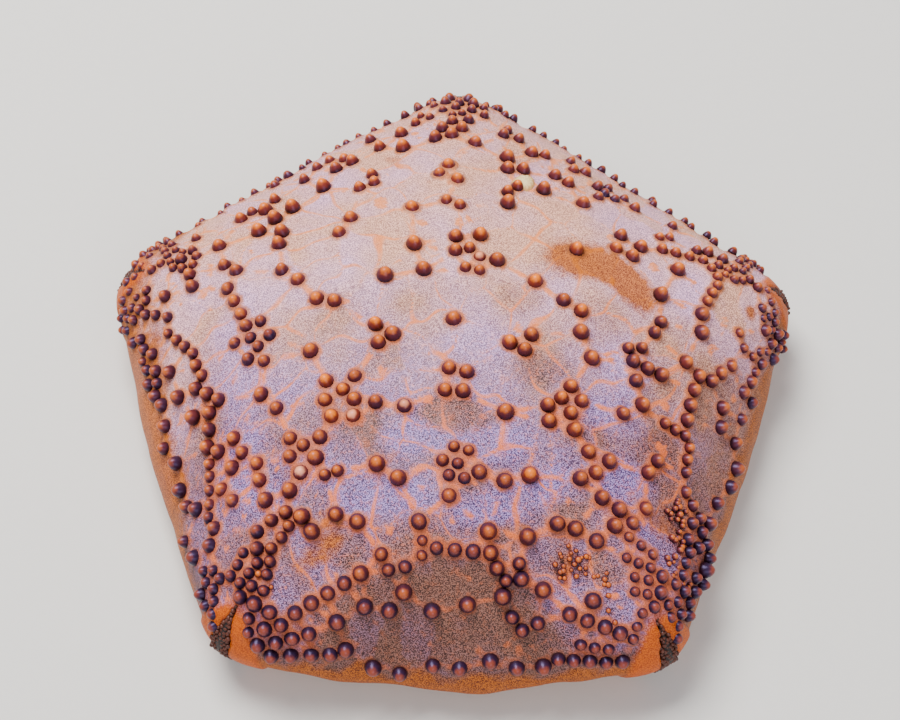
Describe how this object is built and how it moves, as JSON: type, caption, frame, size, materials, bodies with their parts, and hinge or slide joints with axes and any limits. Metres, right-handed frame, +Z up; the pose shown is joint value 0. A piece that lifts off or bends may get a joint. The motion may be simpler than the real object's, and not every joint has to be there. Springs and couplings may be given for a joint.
{
  "type": "cushion star",
  "caption": "Still, life-size cushion star: a thick, domed, rounded pentagonal starfish set with blunt tubercles.",
  "frame": {"origin": "centre of the outline, on the surface that the sole rests on", "axes": "+Z up out of the back, +Y towards the back arm, +X to the right as seen with the flat side in front"},
  "size_m": [0.205, 0.2015, 0.054],
  "materials": {
    "skin": "damp leathery skin with granules, mottled lavender, brown and orange",
    "furrow": "dark brown rows of short spines and tube feet",
    "jaws": "orange-tan jaw plates with short blunt spines",
    "sieve_plate": "cream limy plate with fine winding grooves"
  },
  "bodies": {
    "root": {"disc": "skin", "arm_back": "skin", "arm_left": "skin", "arm_front_left": "skin", "arm_front_right": "skin", "arm_right": "skin", "furrow_back": "furrow", "furrow_left": "furrow", "furrow_front_left": "furrow", "furrow_front_right": "furrow", "furrow_right": "furrow", "mouth": "jaws", "madreporite": "sieve_plate"}
  },
  "joints": []
}
